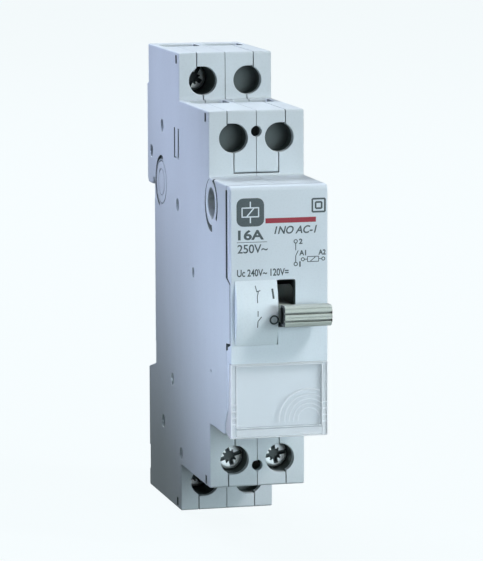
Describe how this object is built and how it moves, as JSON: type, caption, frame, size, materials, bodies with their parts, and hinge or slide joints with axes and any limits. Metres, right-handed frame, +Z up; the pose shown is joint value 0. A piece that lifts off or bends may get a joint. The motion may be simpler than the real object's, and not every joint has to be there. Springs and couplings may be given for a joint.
{
  "type": "din rail contactor",
  "caption": "Single-module contactor for a 35 mm rail, with stepped screw terminals above and below, a manual on-off lever and a clear label flap.",
  "frame": {"origin": "centre of the rail seat, on the flat that bears on the rail's face, at mid width and mid height of the 45 mm nose", "axes": "+X to the right seen from the front, +Y back through the rail, +Z up"},
  "size_m": [0.0178, 0.0714, 0.0864],
  "materials": {
    "housing_grey": "moulded, very fine texture",
    "panel_white": "smooth moulded",
    "clear_plastic": "clear polycarbonate",
    "lever_beige": "moulded, ribbed grip",
    "dark_plastic": "moulded",
    "bobbin_cream": "moulded nylon",
    "zinc_steel": "zinc plated",
    "soft_iron": "nickel plated iron",
    "copper": "plain copper alloy",
    "enamel_wire": "enamelled winding wire",
    "contact_silver": "silver alloy",
    "spring_steel": "drawn wire"
  },
  "bodies": {
    "housing": {"left_shell": "housing_grey", "right_shell": "housing_grey", "upper_left_terminal_cover": "housing_grey", "upper_right_terminal_cover": "housing_grey", "lower_left_terminal_cover": "housing_grey", "lower_right_terminal_cover": "housing_grey", "front_cover": "housing_grey", "marking_panel": "panel_white", "lever_pin": "zinc_steel", "clip_spring": "spring_steel", "fixed_contact_bar": "copper", "fixed_contact_tip": "contact_silver", "upper_terminal_bar": "copper", "a1_terminal_bar": "copper", "a2_terminal_bar": "copper", "a1_coil_lead": "enamel_wire", "a2_coil_lead": "enamel_wire", "coil_bobbin": "bobbin_cream", "coil_winding": "enamel_wire", "coil_core": "soft_iron", "shading_ring": "copper", "yoke": "soft_iron", "armature_spring": "spring_steel"},
    "lever": {"switch_lever": "lever_beige"},
    "armature": {"armature": "soft_iron", "actuator_card": "bobbin_cream"},
    "contact_blade": {"contact_blade": "copper", "moving_contact_tip": "contact_silver"},
    "flap": {"clear_flap": "clear_plastic"},
    "rail_clip": {"din_clip": "dark_plastic"},
    "screw_1": {"terminal_screw_1": "zinc_steel"},
    "cage_1": {"clamp_cage_1": "zinc_steel"},
    "screw_2": {"terminal_screw_2": "zinc_steel"},
    "cage_2": {"clamp_cage_2": "zinc_steel"},
    "screw_a1": {"terminal_screw_a1": "zinc_steel"},
    "cage_a1": {"clamp_cage_a1": "zinc_steel"},
    "screw_a2": {"terminal_screw_a2": "zinc_steel"},
    "cage_a2": {"clamp_cage_a2": "zinc_steel"}
  },
  "joints": [
    {"name": "lever_turn", "type": "hinge", "parent": "housing", "child": "lever", "pos_m": [0, -0.0466, 0], "axis": [-1, 0, 0], "range_deg": [0, 17]},
    {"name": "armature_tilt", "type": "hinge", "parent": "housing", "child": "armature", "pos_m": [0, -0.01625, 0.011], "axis": [1, 0, 0], "range_deg": [0, 5], "deforming": ["armature_spring"]},
    {"name": "contact_blade_bend", "type": "hinge", "parent": "housing", "child": "contact_blade", "pos_m": [-0.00425, -0.0078, 0.0237], "axis": [1, 0, 0], "range_deg": [0, 1.9]},
    {"name": "flap_open", "type": "hinge", "parent": "housing", "child": "flap", "pos_m": [0, -0.0572, -0.0209], "axis": [1, 0, 0], "range_deg": [0, 90]},
    {"name": "rail_clip_slide", "type": "slide", "parent": "housing", "child": "rail_clip", "axis": [0, 0, -1], "range_m": [0, 0.0035], "stiffness_N_per_m": 300, "springref_m": -0.002, "deforming": ["clip_spring"]},
    {"name": "screw_1_turn", "type": "hinge", "parent": "housing", "child": "screw_1", "pos_m": [-0.00425, -0.012, -0.0379], "axis": [0, 1, 0], "range_deg": [0, 1440]},
    {"name": "cage_1_slide", "type": "slide", "parent": "housing", "child": "cage_1", "axis": [0, -1, 0], "range_m": [0, 0.0028]},
    {"name": "screw_2_turn", "type": "hinge", "parent": "housing", "child": "screw_2", "pos_m": [-0.00425, -0.012, 0.0379], "axis": [0, 1, 0], "range_deg": [0, 1440]},
    {"name": "cage_2_slide", "type": "slide", "parent": "housing", "child": "cage_2", "axis": [0, -1, 0], "range_m": [0, 0.0028]},
    {"name": "screw_a1_turn", "type": "hinge", "parent": "housing", "child": "screw_a1", "pos_m": [-0.00425, -0.039, -0.0294], "axis": [0, 1, 0], "range_deg": [0, 1440]},
    {"name": "cage_a1_slide", "type": "slide", "parent": "housing", "child": "cage_a1", "axis": [0, -1, 0], "range_m": [0, 0.0028]},
    {"name": "screw_a2_turn", "type": "hinge", "parent": "housing", "child": "screw_a2", "pos_m": [0.00425, -0.039, -0.0294], "axis": [0, 1, 0], "range_deg": [0, 1440]},
    {"name": "cage_a2_slide", "type": "slide", "parent": "housing", "child": "cage_a2", "axis": [0, -1, 0], "range_m": [0, 0.0028]}
  ],
  "couplings": [
    {"joint": "armature_tilt", "follows": "lever_turn", "ratio": 0.288},
    {"joint": "contact_blade_bend", "follows": "lever_turn", "ratio": 0.108},
    {"joint": "screw_1_turn", "follows": "cage_1_slide", "rad_per_m": 8975.9},
    {"joint": "screw_2_turn", "follows": "cage_2_slide", "rad_per_m": 8975.9},
    {"joint": "screw_a1_turn", "follows": "cage_a1_slide", "rad_per_m": 8975.9},
    {"joint": "screw_a2_turn", "follows": "cage_a2_slide", "rad_per_m": 8975.9}
  ]
}
